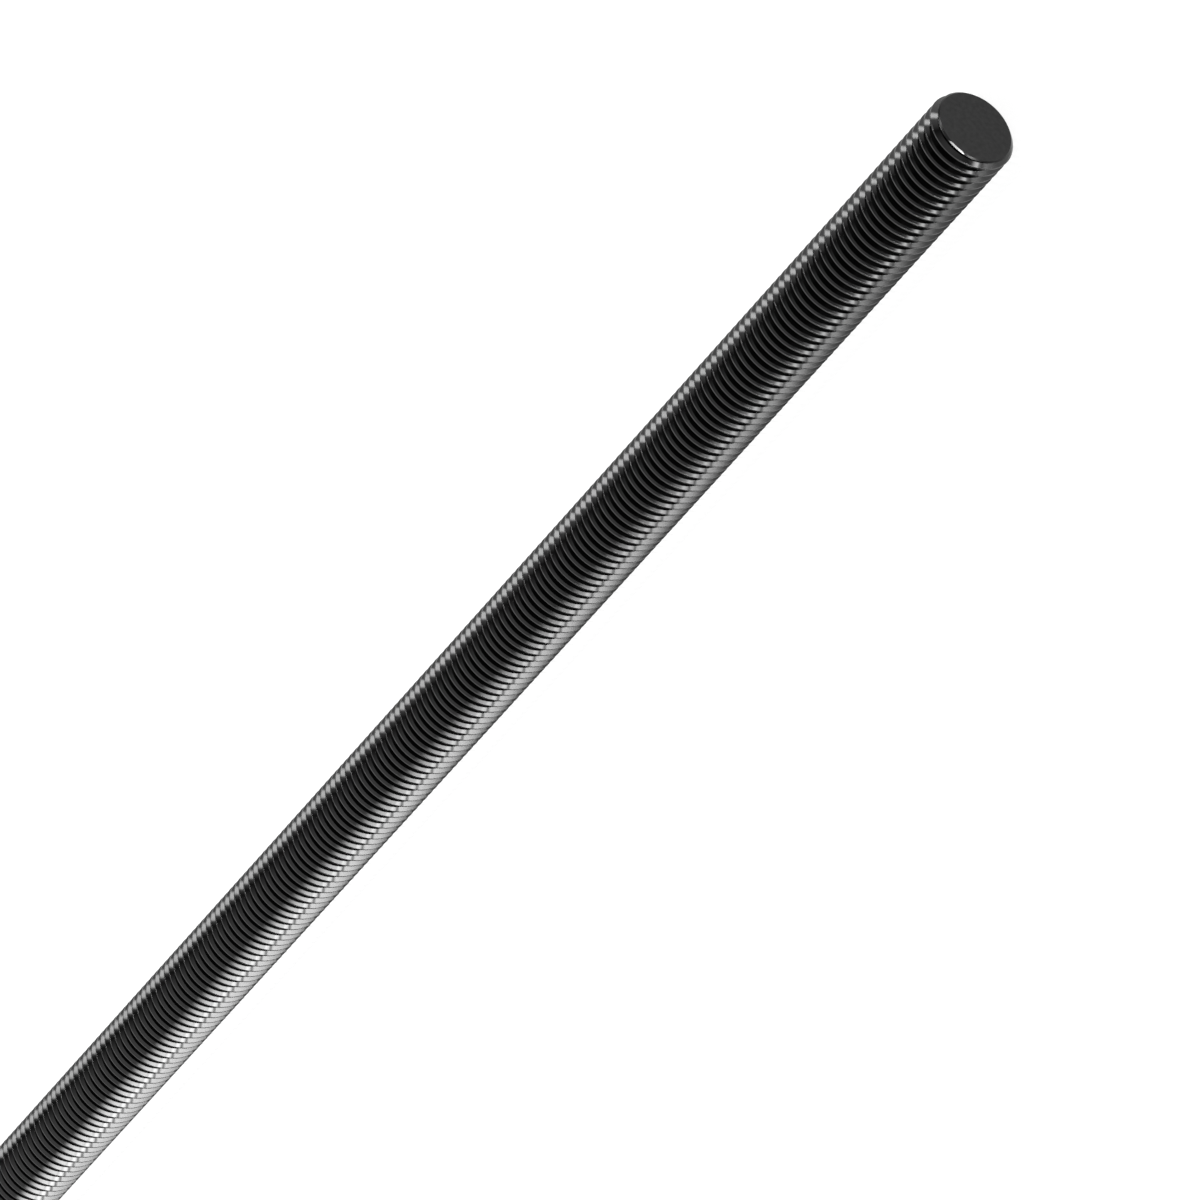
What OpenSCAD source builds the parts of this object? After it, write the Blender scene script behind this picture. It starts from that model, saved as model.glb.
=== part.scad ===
// Threaded rod: one length of steel bar, threaded over its whole length, with a
// chamfer at each end. It lies along X, with its lowest crests on z = 0 and the
// middle of its length at x = 0. The fine thread is drawn as level grooves of
// the true section, one to each pitch: crests, flanks and groove bottoms have
// their real sizes, and only the slow advance of the helix is left out.

/* [Rod] */
// Diameter over the crests of the thread
rod_d = 20; // [14:0.5:36]
// Length from one end face to the other
rod_len = 500; // [100:2.5:1000]

/* [Thread] */
// Distance from one crest to the next
pitch = 2.5; // [1.5:0.25:3.5]
// Angle between the two flanks of a groove
flank_angle = 60; // [50:1:70]
// Width of the flat top of a crest
crest_w = 0.31; // [0.1:0.01:0.5]
// Width of the bottom of a groove
root_w = 0.42; // [0.1:0.01:0.6]

/* [Ends] */
// Depth of the chamfer at each end, measured towards the axis
chamfer = 1.2; // [0.2:0.1:2]
// Angle between the chamfer and the end face
chamfer_angle = 45; // [30:1:60]

/* [Hidden] */
$fn = 72;

crest_r = rod_d / 2;
flank_w = (pitch - crest_w - root_w) / 2;
thread_depth = flank_w / tan(flank_angle / 2);
root_r = crest_r - thread_depth;
chamfer_len = chamfer * tan(chamfer_angle);
// Whole grooves between the ends: half a pitch is left plain at each end
grooves = floor(rod_len / pitch) - 1;

// The four corners of one groove, in the plane of radius and length
function groove_corners(middle) = [
    [crest_r, middle - root_w / 2 - flank_w],
    [root_r, middle - root_w / 2],
    [root_r, middle + root_w / 2],
    [crest_r, middle + root_w / 2 + flank_w]
];

// Half of the rod's lengthwise section, from the axis out to the thread
module threaded_section() {
    first_groove = -(grooves - 1) / 2 * pitch;
    edge = [for (i = [0 : grooves - 1]) each groove_corners(first_groove + i * pitch)];
    polygon(concat(
        [[0, -rod_len / 2], [crest_r, -rod_len / 2]],
        edge,
        [[crest_r, rod_len / 2], [0, rod_len / 2]]
    ));
}

// Half of the lengthwise section of the bar with its two chamfers
module chamfered_section() {
    polygon([
        [0, -rod_len / 2],
        [crest_r - chamfer, -rod_len / 2],
        [crest_r, -rod_len / 2 + chamfer_len],
        [crest_r, rod_len / 2 - chamfer_len],
        [crest_r - chamfer, rod_len / 2],
        [0, rod_len / 2]
    ]);
}

// The rod: one solid of revolution, laid along X
module threaded_rod() {
    color("dimgray")
    translate([0, 0, crest_r])
    rotate([0, 90, 0])
    rotate_extrude()
    intersection() {
        threaded_section();
        chamfered_section();
    }
}

threaded_rod();
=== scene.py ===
"""Threaded rod: one blackened steel bar with a right-hand thread over its whole length.

It lies along X on a pale floor, and the camera looks down on it from beyond its near
end, at +X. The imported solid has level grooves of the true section. The mesh here has
the same section on a true helix, with its crests and groove bottoms slightly rounded.
Both ends are chamfered through the thread, up to a narrow plain lip round the face.
"""

import math

import bpy
from mathutils import Matrix, Vector


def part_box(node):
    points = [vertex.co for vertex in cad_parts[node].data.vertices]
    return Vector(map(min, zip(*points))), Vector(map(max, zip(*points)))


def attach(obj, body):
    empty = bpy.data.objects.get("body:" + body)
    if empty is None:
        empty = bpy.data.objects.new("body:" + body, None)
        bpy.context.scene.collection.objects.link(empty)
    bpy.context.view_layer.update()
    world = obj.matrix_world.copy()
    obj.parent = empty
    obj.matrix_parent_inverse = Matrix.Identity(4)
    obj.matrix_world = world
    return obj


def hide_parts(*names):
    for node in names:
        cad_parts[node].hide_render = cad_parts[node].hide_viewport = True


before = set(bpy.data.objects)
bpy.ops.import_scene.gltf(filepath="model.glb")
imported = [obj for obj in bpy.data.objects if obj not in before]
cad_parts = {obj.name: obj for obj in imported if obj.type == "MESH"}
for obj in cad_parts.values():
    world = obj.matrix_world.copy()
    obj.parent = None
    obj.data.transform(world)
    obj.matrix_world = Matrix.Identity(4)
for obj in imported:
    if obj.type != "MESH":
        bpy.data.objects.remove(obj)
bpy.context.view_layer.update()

# The rod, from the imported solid
NODE = "threaded_rod"
node_low, node_high = (Vector(corner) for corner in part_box(NODE))
HALF_LENGTH = (node_high.x - node_low.x) / 2
CREST_R = (node_high.z - node_low.z) / 2
AXIS_Z = (node_high.z + node_low.z) / 2

# The thread and the ends, in metres
PITCH = 0.0025
CREST_W = 0.00031
ROOT_W = 0.00042
FLANK_LEAN = math.radians(30)
CREST_ROUND = 0.00007
ROOT_ROUND = 0.00014
CHAMFER = 0.0012
LIP = 0.0003
LEAD = PITCH / math.tau

# How finely the mesh follows the thread: columns round it, and steps on each side of
# the section in the last pitches at each end. Pitches are also made past each end, to
# be cut off there
COLUMNS = 54
FINE_PITCHES = 3
FINE_STEPS = (3, 1, 7, 2, 2, 2, 7, 1)
SPARE_PITCHES = 2

# The painted highlight on top of the near lip, a patch of bright bare steel: its centre,
# half its size along the rod, outwards and round it, and the shares of that size where it fades
GLINT_DEPTH = 0.00017
GLINT_R = 0.00897
GLINT_HALVES = (0.0004, 0.0004, 0.0026)
GLINT_FADE = (0.7, 1.1)
GLINT_GREY = 0.6

# The finish, and its patches and grain: scales in features per metre, and the range of
# the noise that they use
NOISE_RANGE = (0.3, 0.7)
BLACK = 0.0005
THREAD_ROUGHNESS = (0.045, 0.08)
PATCH_SCALE = 180
PATCH_DETAIL = 4
GRAIN_SCALE = 9000
GRAIN_DETAIL = 3
GRAIN_HEIGHT = 0.000002
LIP_ROUGHNESS = 0.3
LIP_SHEEN = 0.2
FACE_BLACK = 0.001
FACE_ROUGHNESS = 0.3
FACE_IOR = 1.355
FACE_GRAIN_SCALE = 900
FACE_SHEEN = (0.42, 0.58)

# The floor: its own white, and the clear polish over it
FLOOR_HALF = 8
FLOOR_GREY = 0.2
FLOOR_WHITE = 0.95
POLISH_ROUGHNESS = 0.02
POLISH_IOR = 2

# The rod's shadow on the floor's own white, as the rod's reflections show it
SHADE = 0.1
SHADE_SIDE = 0.012
SHADE_EDGE = 0.008

# The studio's lights: strengths, and the angles in degrees where they begin and end
DOME = 1.05
DOME_RISE = (-5, 24)
DOME_FADE = (42, 58)
DOME_TOP = 0.3
BACK = 1.1
BACK_AZIMUTH = 180
BACK_HALF_WIDTH = 60
BACK_HEIGHTS = (32, 50)
BACK_EDGE = 8
LEFT_AZIMUTH = -53
LEFT_HALF_WIDTH = 2.5
LEFT_SIDE_EDGE = 3
LEFT_HEIGHTS = (4, 20)
LEFT_END_EDGE = 4
LEFT_RISE = (1, 20)
LEFT_STRENGTHS = (9, 31)
RIGHT = 26
RIGHT_TOP = (37.5, 40.5)
RIGHT_RISE = (0, 29)
RIGHT_GAIN = 2.6
BAR_DARK = 0.75

# The right box's edges. An edge that leans is (lean, start, end): its azimuth goes
# down by that many degrees for each degree of height
BOX_SPLIT = (28, 31)
CORNER_TOP = (16, 23)
CORNER_NEAR_EDGE = (0.8, 21.5, 37.5)
CORNER_FAR_EDGE = (1.0, 35, 39)
REST_NEAR_EDGE = (-0.56, 23.5, 32)
REST_FAR_EDGE = (-0.36, 36, 40)
BAR = (0.443, 37, 39)
BAR_EDGE = 2

# The camera, set by where it sees the near end of the rod
PHOTO_SIZE = 1200
FOCAL_PIXELS = 8765.3
SENSOR_MM = 36
NEAR_END_PIXEL = (975.68, 126.96)
ROD_SLOPE = math.radians(47.870)
VIEW_ANGLE = math.radians(49.31)
VIEW_TURN = math.radians(12)
VIEW_DISTANCE = 1.8648
FAR_CLIP = 50


def thread_section():
    """One pitch of the lengthwise section, as corners of (x, radius, normal angle).

    The normal angle is measured from +X towards the outside of the rod.
    """
    root_r = CREST_R - (PITCH - CREST_W - ROOT_W) / 2 / math.tan(FLANK_LEAN)
    along, down = math.sin(FLANK_LEAN), math.cos(FLANK_LEAN)
    crest_edge, root_edge = CREST_W / 2, (PITCH - ROOT_W) / 2
    rising = [
        (crest_edge - CREST_ROUND, CREST_R, math.pi / 2),
        (crest_edge + along * CREST_ROUND, CREST_R - down * CREST_ROUND, FLANK_LEAN),
        (root_edge - along * ROOT_ROUND, root_r + down * ROOT_ROUND, FLANK_LEAN),
        (root_edge + ROOT_ROUND / 2, root_r, math.pi / 2),
    ]
    falling = [(PITCH - x, r, math.pi - angle) for x, r, angle in reversed(rising)]
    x, r, angle = falling.pop()
    return [(x - PITCH, r, angle)] + rising + falling


SECTION = thread_section()


def pitch_rows(steps):
    """The section over one pitch, each side cut into its number of steps."""
    rows = []
    x, r, angle = SECTION[0]
    closed = SECTION + [(x + PITCH, r, angle)]
    for side, (start, end) in enumerate(zip(closed, closed[1:])):
        for k in range(steps[side]):
            row = [a + (b - a) * k / steps[side] for a, b in zip(start, end)]
            rows.append((*row, side))
    return rows


def chamfer_r(x):
    """Radius of the chamfer cone at a place along the rod."""
    return CREST_R - CHAMFER + HALF_LENGTH - abs(x)


def surface_normal(angle, r, turn, lead=LEAD):
    """Outward normal, from the section's normal angle, on a helix of the given lead."""
    along, out, around = math.cos(angle), math.sin(angle), -math.cos(angle) * lead / r
    size = math.sqrt(along**2 + out**2 + around**2)
    y = out * math.cos(turn) - around * math.sin(turn)
    z = out * math.sin(turn) + around * math.cos(turn)
    return (along / size, y / size, z / size)


class Surface:
    """Vertices and faces under construction, with a normal for each corner of a face."""

    def __init__(self):
        self.vertices, self.faces, self.normals, self.materials = [], [], [], []

    def point(self, x, r, turn):
        """Adds the vertex at this place along, out from and around the axis."""
        self.vertices.append((x, r * math.cos(turn), AXIS_Z + r * math.sin(turn)))
        return len(self.vertices) - 1

    def flat(self, corners):
        """The same corners, each with the normal of the face itself."""
        points = [self.vertices[c[0]] for c in corners]
        spokes = [Vector([a - b for a, b in zip(p, points[0])]) for p in points[1:]]
        normal = sum((a.cross(b) for a, b in zip(spokes, spokes[1:])), Vector())
        return [(c[0], tuple(normal.normalized())) for c in corners]

    def face(self, corners, material=0):
        """Adds a face of (vertex, normal) corners, without those that coincide."""
        kept = [c for k, c in enumerate(corners) if c[0] != corners[k - 1][0]]
        if len(kept) > 2:
            self.faces.append([c[0] for c in kept])
            self.normals.extend(c[1] for c in kept)
            self.materials.append(material)


def rod_surface():
    """The whole rod: thread, chamfers and end faces, as one closed surface.

    Each row of the section keeps its place round the rod and moves along it by one
    pitch a turn. Points past a lip's inner edge close up on it, which ends the thread.
    """
    surface = Surface()
    turns = [math.tau * column / COLUMNS for column in range(COLUMNS)]
    lip_x = HALF_LENGTH - LIP
    lips = {
        side: [surface.point(side * lip_x, chamfer_r(lip_x), turn) for turn in turns]
        for side in (-1, 1)
    }
    lip_points = set(lips[-1] + lips[1])
    pitches = round(2 * HALF_LENGTH / PITCH)
    coarse_rows, fine_rows = pitch_rows((1,) * len(SECTION)), pitch_rows(FINE_STEPS)

    def rows_of(pitch):
        near_an_end = not FINE_PITCHES <= pitch < pitches - FINE_PITCHES
        return fine_rows if near_an_end else coarse_rows

    def column_points(column, pitch):
        """Corners of one pitch in one column: vertex, normals on thread and chamfer."""
        points = []
        for along, r, angle, side in rows_of(pitch):
            x = along + (pitch + column / COLUMNS) * PITCH - HALF_LENGTH
            end = 1 if x > 0 else -1
            cut = r > chamfer_r(x)
            if abs(x) >= lip_x:
                vertex, cut = lips[end][column], True
            else:
                vertex = surface.point(x, min(r, chamfer_r(x)), turns[column])
            thread = surface_normal(angle, r, turns[column])
            cone = surface_normal(math.pi / 2 - end * math.pi / 4, r, turns[column], 0)
            points.append((vertex, thread, cone, cut, side))
        return points

    first, last = -SPARE_PITCHES, pitches + SPARE_PITCHES
    grid = {(c, p): column_points(c, p) for p in range(first, last) for c in range(COLUMNS)}

    def side_faces(left, right):
        """Faces of one side of the section, between two neighbouring columns."""
        strips = [(left, right)]
        if len(left) == len(right):
            strips = [(left[k : k + 2], right[k : k + 2]) for k in range(len(left) - 1)]
        for a, b in strips:
            ring = b + a[::-1]
            chamfered = all(point[3] for point in ring)
            corners = [(point[0], point[2] if chamfered else point[1]) for point in ring]
            if not chamfered and any(point[0] in lip_points for point in ring):
                corners = surface.flat(corners)
            surface.face(corners)

    def with_end(column, pitch):
        """A pitch's points and the first one of the next pitch, grouped by side."""
        points = grid[column, pitch] + grid[column, pitch + 1][:1]
        starts = [k for k, p in enumerate(points[:-1]) if k == 0 or p[4] != points[k - 1][4]]
        return [points[a : b + 1] for a, b in zip(starts, starts[1:] + [len(points) - 1])]

    for pitch in range(first, pitches):
        for column in range(COLUMNS):
            wraps = column + 1 == COLUMNS
            neighbour = (0, pitch + 1) if wraps else (column + 1, pitch)
            for left, right in zip(with_end(column, pitch), with_end(*neighbour)):
                side_faces(left, right)

    for side in (-1, 1):
        add_end_face(surface, side, lips[side], turns)
    return surface


def add_end_face(surface, side, lip, turns):
    """Closes one end: the lip, which is the last of the chamfer, then the flat face."""
    end_x = side * HALF_LENGTH
    edge = [surface.point(end_x, chamfer_r(end_x), turn) for turn in turns]
    centre = surface.point(end_x, 0, 0)
    flat = (side, 0, 0)
    cone = [surface_normal(math.pi / 2 - side * math.pi / 4, CREST_R, t, 0) for t in turns]
    for a in range(COLUMNS):
        b = (a + 1) % COLUMNS
        bevel = [(lip[a], cone[a]), (lip[b], cone[b]), (edge[b], cone[b]), (edge[a], cone[a])]
        plain = [(edge[a], flat), (edge[b], flat), (centre, flat)]
        surface.face(bevel[::side], 2)
        surface.face(plain[::side], 1)


def make_rod(thread, face, lip):
    """The rod's object, with its normals, materials and place in the frame."""
    surface = rod_surface()
    used = sorted({v for corners in surface.faces for v in corners})
    number = {v: k for k, v in enumerate(used)}
    mesh = bpy.data.meshes.new("threaded_rod_helix")
    faces = [[number[v] for v in corners] for corners in surface.faces]
    mesh.from_pydata([surface.vertices[v] for v in used], [], faces, shade_flat=False)
    for material in (thread, face, lip):
        mesh.materials.append(material)
    mesh.polygons.foreach_set("material_index", surface.materials)
    mesh.normals_split_custom_set(surface.normals)
    rod = bpy.data.objects.new("threaded_rod_helix", mesh)
    bpy.context.collection.objects.link(rod)
    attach(rod, "root")
    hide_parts(NODE)
    return rod


def new_material(name, grey, roughness, ior=1.5):
    """A grey material with its Principled shader, ready for detail."""
    material = bpy.data.materials.new(name)
    material.use_nodes = True
    shader = material.node_tree.nodes["Principled BSDF"]
    shader.inputs["Base Color"].default_value = (grey, grey, grey, 1)
    shader.inputs["Roughness"].default_value = roughness
    shader.inputs["IOR"].default_value = ior
    return material, material.node_tree, shader


def add_noise(tree, scale, detail):
    """A noise texture fixed to the object, at a scale in features per metre."""
    place = tree.nodes.new("ShaderNodeTexCoord")
    noise = tree.nodes.new("ShaderNodeTexNoise")
    noise.inputs["Scale"].default_value = scale
    noise.inputs["Detail"].default_value = detail
    tree.links.new(place.outputs["Object"], noise.inputs["Vector"])
    return noise.outputs["Fac"]


def map_range(tree, value, from_range, to_range, smooth=False):
    """The value moved from one range to another, held at the ends."""
    node = tree.nodes.new("ShaderNodeMapRange")
    node.interpolation_type = "SMOOTHSTEP" if smooth else "LINEAR"
    for name, number in zip(("From Min", "From Max", "To Min", "To Max"), from_range + to_range):
        node.inputs[name].default_value = number
    tree.links.new(value, node.inputs["Value"])
    return node.outputs["Result"]


def node_math(tree, operation, *values):
    """The result of a sum on numbers or on values in a node tree."""
    node = tree.nodes.new("ShaderNodeMath")
    node.operation = operation
    for k, value in enumerate(values):
        if isinstance(value, (int, float)):
            node.inputs[k].default_value = value
        else:
            tree.links.new(value, node.inputs[k])
    return node.outputs[0]


def add_grain(tree, shader):
    """The finish's fine relief."""
    bump = tree.nodes.new("ShaderNodeBump")
    bump.inputs["Distance"].default_value = GRAIN_HEIGHT
    tree.links.new(add_noise(tree, GRAIN_SCALE, GRAIN_DETAIL), bump.inputs["Height"])
    tree.links.new(bump.outputs["Normal"], shader.inputs["Normal"])


def paint_lip_glint(tree, shader):
    """Painted highlight: a patch of bright bare steel on the near lip, at the top of the main
    view.
    """
    turn = math.pi / 2 + VIEW_TURN
    lengthwise, outward = Vector((1, 0, 0)), Vector((0, math.cos(turn), math.sin(turn)))
    middle = Vector((HALF_LENGTH - GLINT_DEPTH, 0, AXIS_Z)) + outward * GLINT_R
    place = tree.nodes.new("ShaderNodeTexCoord")
    offset = tree.nodes.new("ShaderNodeVectorMath")
    offset.operation = "SUBTRACT"
    offset.inputs[1].default_value = middle
    tree.links.new(place.outputs["Object"], offset.inputs[0])
    scaled = tree.nodes.new("ShaderNodeCombineXYZ")
    axes = (lengthwise, outward, outward.cross(lengthwise))
    for k, (axis, half) in enumerate(zip(axes, GLINT_HALVES)):
        part = tree.nodes.new("ShaderNodeVectorMath")
        part.operation = "DOT_PRODUCT"
        part.inputs[1].default_value = axis / half
        tree.links.new(offset.outputs["Vector"], part.inputs[0])
        tree.links.new(part.outputs["Value"], scaled.inputs[k])
    reach = tree.nodes.new("ShaderNodeVectorMath")
    reach.operation = "LENGTH"
    tree.links.new(scaled.outputs["Vector"], reach.inputs[0])
    # Mask of the painted highlight: bright bare steel inside it, the black finish outside
    glint_mask = map_range(tree, reach.outputs["Value"], GLINT_FADE, (1, 0), smooth=True)
    tree.links.new(glint_mask, shader.inputs["Metallic"])
    level = map_range(tree, glint_mask, (0, 1), (BLACK, GLINT_GREY))
    tree.links.new(level, shader.inputs["Base Color"])


def blackened_thread():
    """Rolled thread with a thin glossy black finish, a little duller in patches."""
    material, tree, shader = new_material("blackened_thread", BLACK, THREAD_ROUGHNESS[0])
    patches = add_noise(tree, PATCH_SCALE, PATCH_DETAIL)
    level = map_range(tree, patches, NOISE_RANGE, THREAD_ROUGHNESS)
    tree.links.new(level, shader.inputs["Roughness"])
    add_grain(tree, shader)
    return material


def blackened_lip():
    """Turned lip of the chamfer, with a duller finish and a painted highlight of bare steel on
    top.
    """
    material, tree, shader = new_material("blackened_lip", BLACK, LIP_ROUGHNESS)
    shader.inputs["Specular IOR Level"].default_value = LIP_SHEEN
    add_grain(tree, shader)
    # Painted highlight on top of the lip
    paint_lip_glint(tree, shader)
    return material


def blackened_face():
    """Faced end: the same finish, satin and faintly mottled."""
    material, tree, shader = new_material("blackened_face", FACE_BLACK, FACE_ROUGHNESS, FACE_IOR)
    grain = add_noise(tree, FACE_GRAIN_SCALE, GRAIN_DETAIL)
    level = map_range(tree, grain, NOISE_RANGE, FACE_SHEEN)
    tree.links.new(level, shader.inputs["Specular IOR Level"])
    return material


def make_floor():
    """Plain pale floor, far wider than any view, with a clear polish.

    Most of its white is its own, so that the rod's shadow stays faint to the camera.
    In the rod's reflections that white dims right beside the rod, as in a full shadow.
    """
    half = FLOOR_HALF
    corners = [(-half, -half, 0), (half, -half, 0), (half, half, 0), (-half, half, 0)]
    mesh = bpy.data.meshes.new("floor")
    mesh.from_pydata(corners, [], [(0, 1, 2, 3)])
    floor = bpy.data.objects.new("floor", mesh)
    bpy.context.collection.objects.link(floor)
    material, tree, shader = new_material("pale_floor", FLOOR_GREY, 1.0)
    shader.inputs["Specular IOR Level"].default_value = 0
    shader.inputs["Coat Weight"].default_value = 1
    shader.inputs["Coat Roughness"].default_value = POLISH_ROUGHNESS
    shader.inputs["Coat IOR"].default_value = POLISH_IOR
    shader.inputs["Emission Color"].default_value = (1, 1, 1, 1)
    path = tree.nodes.new("ShaderNodeLightPath")
    mirrored, bent = path.outputs["Is Glossy Ray"], path.outputs["Is Transmission Ray"]
    reflected = node_math(tree, "MAXIMUM", mirrored, bent)
    place = tree.nodes.new("ShaderNodeTexCoord")
    split = tree.nodes.new("ShaderNodeSeparateXYZ")
    tree.links.new(place.outputs["Object"], split.inputs["Vector"])
    along = node_math(tree, "ABSOLUTE", split.outputs["X"])
    aside = node_math(tree, "ABSOLUTE", split.outputs["Y"])
    end_edge = (HALF_LENGTH - SHADE_EDGE, HALF_LENGTH)
    side_edge = (SHADE_SIDE, SHADE_SIDE + SHADE_EDGE)
    past_end = map_range(tree, along, end_edge, (0, 1), smooth=True)
    past_side = map_range(tree, aside, side_edge, (0, 1), smooth=True)
    clear = node_math(tree, "MAXIMUM", past_end, past_side)
    shaded = node_math(tree, "MULTIPLY", reflected, map_range(tree, clear, (0, 1), (SHADE, 1)))
    white = node_math(tree, "MAXIMUM", path.outputs["Is Camera Ray"], shaded)
    strength = node_math(tree, "MULTIPLY", white, FLOOR_WHITE)
    tree.links.new(strength, shader.inputs["Emission Strength"])
    mesh.materials.append(material)
    return floor


class Sky:
    """The world as a set of soft lights, each placed by its direction from the rod.

    Elevation is above the floor. Azimuth is 0 along the rod past its near end, and
    grows towards -Y, the right-hand side of the rod in the main view.
    """

    def __init__(self):
        world = bpy.data.worlds.new("studio")
        world.use_nodes = True
        bpy.context.scene.world = world
        self.tree = world.node_tree
        place = self.tree.nodes.new("ShaderNodeTexCoord")
        self.direction = place.outputs["Generated"]
        self.elevation = self.math("ARCSINE", self.dot((0, 0, 1)))
        self.total = None

    def math(self, operation, *values):
        """The result of a sum in the world's node tree."""
        return node_math(self.tree, operation, *values)

    def dot(self, vector):
        """How far the direction points along a vector."""
        node = self.tree.nodes.new("ShaderNodeVectorMath")
        node.operation = "DOT_PRODUCT"
        node.inputs[1].default_value = vector
        self.tree.links.new(self.direction, node.inputs[0])
        return node.outputs["Value"]

    def azimuth(self, centre=0):
        """Signed angle round from a centre azimuth in degrees."""
        a = math.radians(centre)
        ahead = self.dot((math.cos(a), -math.sin(a), 0))
        aside = self.dot((-math.sin(a), -math.cos(a), 0))
        return self.math("ARCTAN2", aside, ahead)

    def rise(self, value, start, end, low=0.0, high=1.0):
        """Goes smoothly from low to high as an angle goes from start to end degrees."""
        span = (math.radians(start), math.radians(end))
        return map_range(self.tree, value, span, (low, high), smooth=True)

    def band(self, value, low, high, edge):
        """One between two angles in degrees, with soft edges outside them."""
        start, end = self.rise(value, low - edge, low), self.rise(value, high, high + edge, 1, 0)
        return self.product(start, end)

    def product(self, *parts):
        """All of the parts multiplied together."""
        light = parts[0]
        for part in parts[1:]:
            light = self.math("MULTIPLY", light, part)
        return light

    def add(self, light):
        """Adds one light to the sky."""
        self.total = light if self.total is None else self.math("ADD", self.total, light)

    def dome(self):
        """Light from all round: dim at the floor, brightest half-way up."""
        low = self.rise(self.elevation, *DOME_RISE, 0, DOME)
        self.add(self.product(low, self.rise(self.elevation, *DOME_FADE, 1, DOME_TOP)))

    def back_box(self):
        """A broad soft box high up behind the rod."""
        turn = self.math("ABSOLUTE", self.azimuth(BACK_AZIMUTH))
        width = self.rise(turn, BACK_HALF_WIDTH, BACK_HALF_WIDTH + BACK_EDGE, BACK, 0)
        self.add(self.product(width, self.band(self.elevation, *BACK_HEIGHTS, BACK_EDGE)))

    def left_strip(self):
        """A narrow upright strip of light, stronger towards its top."""
        azimuth = self.azimuth(LEFT_AZIMUTH)
        width = self.band(azimuth, -LEFT_HALF_WIDTH, LEFT_HALF_WIDTH, LEFT_SIDE_EDGE)
        height = self.band(self.elevation, *LEFT_HEIGHTS, LEFT_END_EDGE)
        strength = self.rise(self.elevation, *LEFT_RISE, *LEFT_STRENGTHS)
        self.add(self.product(width, height, strength))

    def right_box(self):
        """A large box on the right, whose edges lean, with one dark bar across it.

        The flanks see its low corner straight on, and the rest of it in the floor.
        """
        azimuth, elevation = self.azimuth(), self.elevation

        def leaning(slope):
            """Azimuth measured from a line that leans over as it goes up."""
            return self.math("ADD", azimuth, self.math("MULTIPLY", elevation, slope))

        def edge(lean, start, end, *levels):
            """Goes from one level to the other across an edge that leans."""
            return self.rise(leaning(lean), start, end, *levels)

        corner = self.product(
            edge(*CORNER_NEAR_EDGE),
            edge(*CORNER_FAR_EDGE, 1, 0),
            self.rise(azimuth, *BOX_SPLIT, 1, 0),
            self.rise(elevation, *CORNER_TOP, 1, 0),
        )
        bar = self.band(leaning(BAR[0]), *BAR[1:], BAR_EDGE)
        rest = self.product(
            edge(*REST_NEAR_EDGE),
            self.rise(azimuth, *BOX_SPLIT),
            edge(*REST_FAR_EDGE, 1, 0),
            self.math("SUBTRACT", 1, self.math("MULTIPLY", bar, BAR_DARK)),
            self.rise(elevation, *RIGHT_RISE, 1, RIGHT_GAIN),
        )
        light = self.math("ADD", corner, rest)
        self.add(self.product(light, RIGHT, self.rise(elevation, *RIGHT_TOP, 1, 0)))

    def finish(self):
        """Gives the sum of the lights to the world."""
        background = self.tree.nodes["Background"]
        background.inputs["Color"].default_value = (1, 1, 1, 1)
        self.tree.links.new(self.total, background.inputs["Strength"])


def light_studio():
    """Soft dome, a box behind the rod, a strip on its left and a box on its right."""
    sky = Sky()
    sky.dome()
    sky.back_box()
    sky.left_strip()
    sky.right_box()
    sky.finish()


def make_camera():
    """Camera at the photo's place: it sees the near end and the rod's slope as given."""
    middle = PHOTO_SIZE / 2
    to_end = Vector((NEAR_END_PIXEL[0] - middle, middle - NEAR_END_PIXEL[1], -FOCAL_PIXELS))
    to_end.normalize()
    down_the_rod = Vector((-math.cos(ROD_SLOPE), -math.sin(ROD_SLOPE), 0))
    across = (down_the_rod - to_end * down_the_rod.dot(to_end)).normalized()
    rod_seen = to_end * math.cos(VIEW_ANGLE) + across * math.sin(VIEW_ANGLE)

    sideways = Vector((0, -math.sin(VIEW_TURN), math.cos(VIEW_TURN)))
    to_camera = Vector((1, 0, 0)) * math.cos(VIEW_ANGLE) + sideways * math.sin(VIEW_ANGLE)
    near_end = Vector((HALF_LENGTH, 0, AXIS_Z))

    def axes(first, second):
        """Matrix whose columns are a right-angled set built on two directions."""
        third = first.cross(second).normalized()
        return Matrix((first, third.cross(first), third)).transposed()

    turn = axes(-to_camera, Vector((-1, 0, 0))) @ axes(to_end, rod_seen).transposed()
    data = bpy.data.cameras.new("camera")
    data.sensor_width = SENSOR_MM
    data.lens = FOCAL_PIXELS * SENSOR_MM / PHOTO_SIZE
    data.clip_end = FAR_CLIP
    camera = bpy.data.objects.new("camera", data)
    camera.matrix_world = Matrix.Translation(near_end + to_camera * VIEW_DISTANCE) @ turn.to_4x4()
    bpy.context.collection.objects.link(camera)
    bpy.context.scene.camera = camera


make_rod(blackened_thread(), blackened_face(), blackened_lip())
make_floor()
light_studio()
make_camera()
bpy.context.scene.view_settings.view_transform = "Standard"
